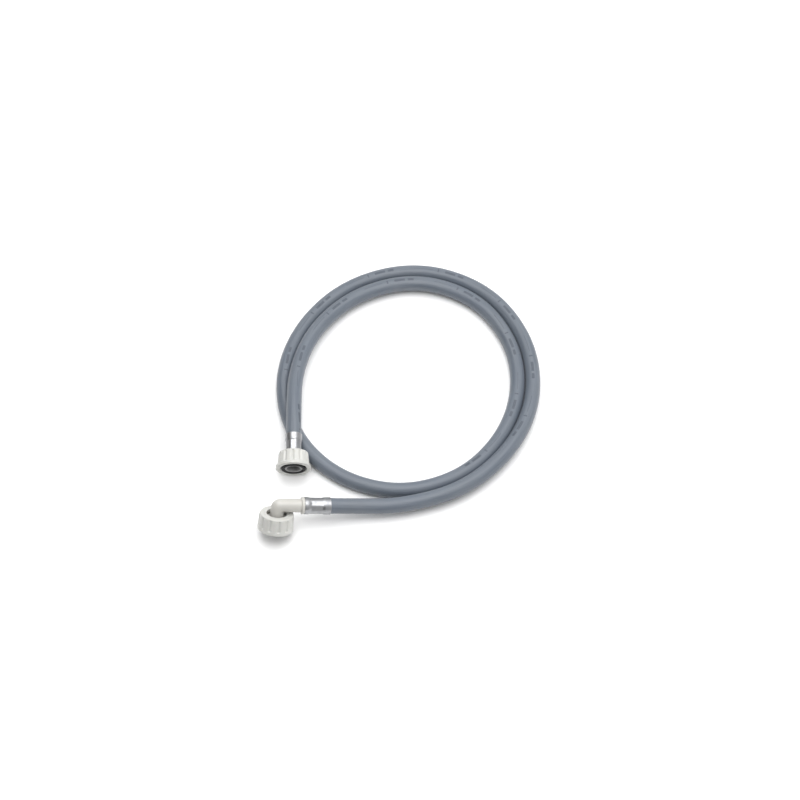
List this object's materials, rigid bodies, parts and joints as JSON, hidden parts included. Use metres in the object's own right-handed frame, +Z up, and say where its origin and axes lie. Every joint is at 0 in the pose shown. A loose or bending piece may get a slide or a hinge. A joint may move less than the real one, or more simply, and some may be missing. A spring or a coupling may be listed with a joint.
{
  "type": "appliance inlet hose",
  "caption": "Grey braid-reinforced PVC water inlet hose in two loose turns, with a straight and an elbow end, each with a crimped steel ferrule and a plastic union nut.",
  "frame": {"origin": "middle of the whole object's footprint, on the surface it lies on", "axes": "+Z up from that surface, +Y along the longest side of the footprint, away from the two end fittings; +X towards the side of the ring opposite the fittings"},
  "size_m": [0.2772, 0.3244, 0.0355],
  "materials": {
    "hose_pvc": "satin grey soft PVC with fine printed marks",
    "hose_braid": "white polyester braid",
    "hose_lining": "smooth grey PVC lining",
    "nut_plastic": "off-white moulded plastic, semi-gloss",
    "tail_plastic": "warm white moulded plastic, semi-gloss",
    "ferrule_steel": "bright plated steel, crimped",
    "washer_rubber": "black moulded rubber"
  },
  "bodies": {
    "hose": {"hose_cover": "hose_pvc", "hose_braid": "hose_braid", "hose_liner": "hose_lining", "straight_tail": "tail_plastic", "straight_ferrule": "ferrule_steel", "elbow_tail": "tail_plastic", "elbow_ferrule": "ferrule_steel"},
    "straight_washer": {"straight_washer": "washer_rubber"},
    "straight_nut": {"straight_nut": "nut_plastic"},
    "elbow_washer": {"elbow_washer": "washer_rubber"},
    "elbow_nut": {"elbow_nut": "nut_plastic"}
  },
  "joints": [
    {"name": "straight_spin", "type": "hinge", "parent": "hose", "child": "straight_washer", "pos_m": [-0.1054, -0.08468, 0.0174], "axis": [0.0189, -0.9889, -0.1475], "continuous": true},
    {"name": "straight_slide", "type": "slide", "parent": "straight_washer", "child": "straight_nut", "axis": [0.0189, -0.9889, -0.1475], "range_m": [0, 0.0084]},
    {"name": "elbow_spin", "type": "hinge", "parent": "hose", "child": "elbow_washer", "pos_m": [-0.12045, -0.14321, 0.01685], "axis": [-0.1187, -0.5607, -0.8195], "continuous": true},
    {"name": "elbow_slide", "type": "slide", "parent": "elbow_washer", "child": "elbow_nut", "axis": [-0.1187, -0.5607, -0.8195], "range_m": [0, 0.002]}
  ]
}
